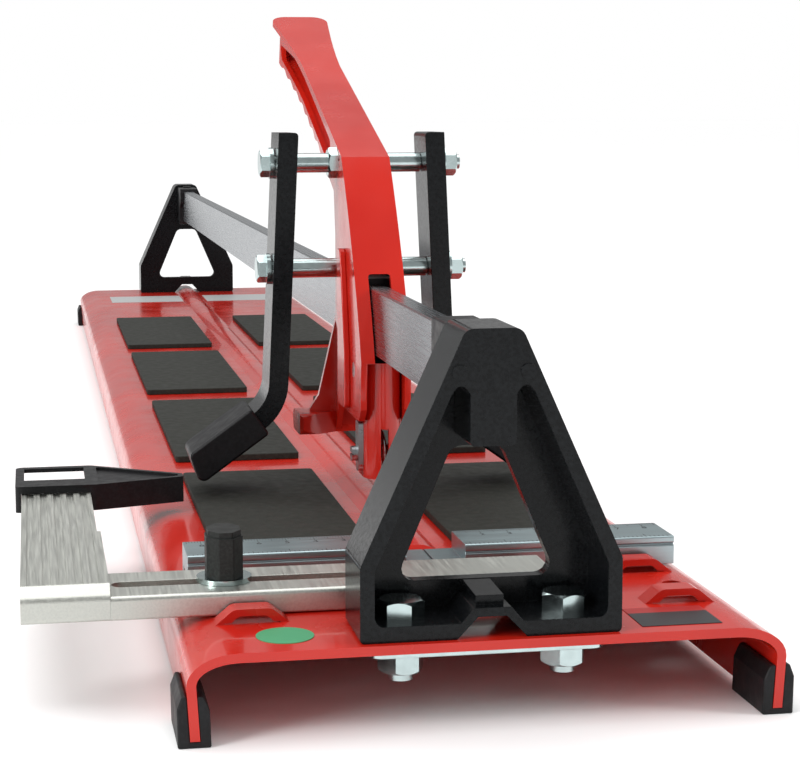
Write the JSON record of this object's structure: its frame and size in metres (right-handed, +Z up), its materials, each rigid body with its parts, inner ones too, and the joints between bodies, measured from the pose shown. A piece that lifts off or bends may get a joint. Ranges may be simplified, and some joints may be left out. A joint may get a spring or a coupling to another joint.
{
  "type": "tile cutter",
  "caption": "Manual rail tile cutter: folded steel bed, end brackets with a flat rail, sliding scoring and breaking lever, ruled fence and side gauge.",
  "frame": {"origin": "bottom centre of the whole part at rest, on the floor; the rail stands 23.85 mm from it towards +X", "axes": "+X across the bed to the right as seen from the fence end, +Y along the rail from the fence end to the far end, +Z up"},
  "size_m": [0.241, 1.162, 0.2355],
  "materials": {
    "red_paint": "gloss",
    "black_casting": "semi-gloss, fine cast grain",
    "rail_steel": "ground and polished",
    "zinc": "bright zinc plate",
    "pin_steel": "satin",
    "wheel_steel": "ground",
    "pad_rubber": "matt, fine speckle",
    "foot_rubber": "satin",
    "boot_rubber": "satin",
    "fence_aluminium": "satin anodised",
    "gauge_aluminium": "as extruded",
    "black_plastic": "satin moulded",
    "knob_plastic": "matt moulded",
    "slider_nylon": "satin",
    "sticker": "satin film"
  },
  "bodies": {
    "base": {"deck": "red_paint", "front_bracket": "black_casting", "rear_bracket": "black_casting", "rail": "rail_steel", "front_rail_sleeve": "black_plastic", "rear_rail_sleeve": "black_plastic", "fence": "fence_aluminium", "fence_screws": "zinc", "front_backing_plate": "zinc", "rear_backing_plate": "zinc", "front_bracket_bolts": "zinc", "rear_bracket_bolts": "zinc", "front_bracket_nuts": "zinc", "rear_bracket_nuts": "zinc", "gauge_weld_nuts": "zinc", "decals": "sticker", "front_left_foot": "foot_rubber", "front_right_foot": "foot_rubber", "rear_left_foot": "foot_rubber", "rear_right_foot": "foot_rubber", "left_pad_1": "pad_rubber", "left_pad_2": "pad_rubber", "left_pad_3": "pad_rubber", "left_pad_4": "pad_rubber", "right_pad_1": "pad_rubber", "right_pad_2": "pad_rubber", "right_pad_3": "pad_rubber", "right_pad_4": "pad_rubber"},
    "carriage": {"slider": "slider_nylon"},
    "lever": {"lever_channel": "red_paint", "pivot_pin": "pin_steel", "wheel_holder": "red_paint", "cheek_plates": "red_paint", "breaker_foot": "red_paint", "left_arm": "black_casting", "right_arm": "black_casting", "left_boot": "boot_rubber", "right_boot": "boot_rubber", "upper_cross_bolt": "zinc", "lower_cross_bolt": "zinc", "cross_bolt_nuts": "zinc", "cross_bolt_washers": "zinc", "jam_nut": "zinc", "wheel_axle": "pin_steel", "axle_nut": "pin_steel", "wheel_spacers": "pin_steel", "holder_strap": "pin_steel"},
    "wheel": {"scoring_wheel": "wheel_steel"},
    "gauge": {"gauge_bar": "gauge_aluminium", "gauge_block": "gauge_aluminium", "gauge_screws": "pin_steel"},
    "stop": {"stop_arm": "black_plastic"},
    "knob": {"clamp_knob": "knob_plastic", "clamp_stud": "zinc", "clamp_washer": "zinc"}
  },
  "joints": [
    {"name": "carriage_slide", "type": "slide", "parent": "base", "child": "carriage", "axis": [0, 1, 0], "range_m": [-0.1, 0.86]},
    {"name": "lever_hinge", "type": "hinge", "parent": "carriage", "child": "lever", "pos_m": [0.02385, -0.3865, 0.0855], "axis": [1, 0, 0], "range_deg": [0, 18]},
    {"name": "wheel_spin", "type": "hinge", "parent": "lever", "child": "wheel", "pos_m": [0.02385, -0.3915, 0.0525], "axis": [1, 0, 0], "continuous": true},
    {"name": "gauge_slide", "type": "slide", "parent": "base", "child": "gauge", "axis": [1, 0, 0], "range_m": [-0.045, 0]},
    {"name": "stop_slide", "type": "slide", "parent": "gauge", "child": "stop", "axis": [0, 1, 0], "range_m": [-0.069, 0]},
    {"name": "knob_turn", "type": "hinge", "parent": "base", "child": "knob", "pos_m": [-0.05265, -0.5235, 0.0385], "axis": [0, 0, 1], "range_deg": [0, 360]}
  ]
}
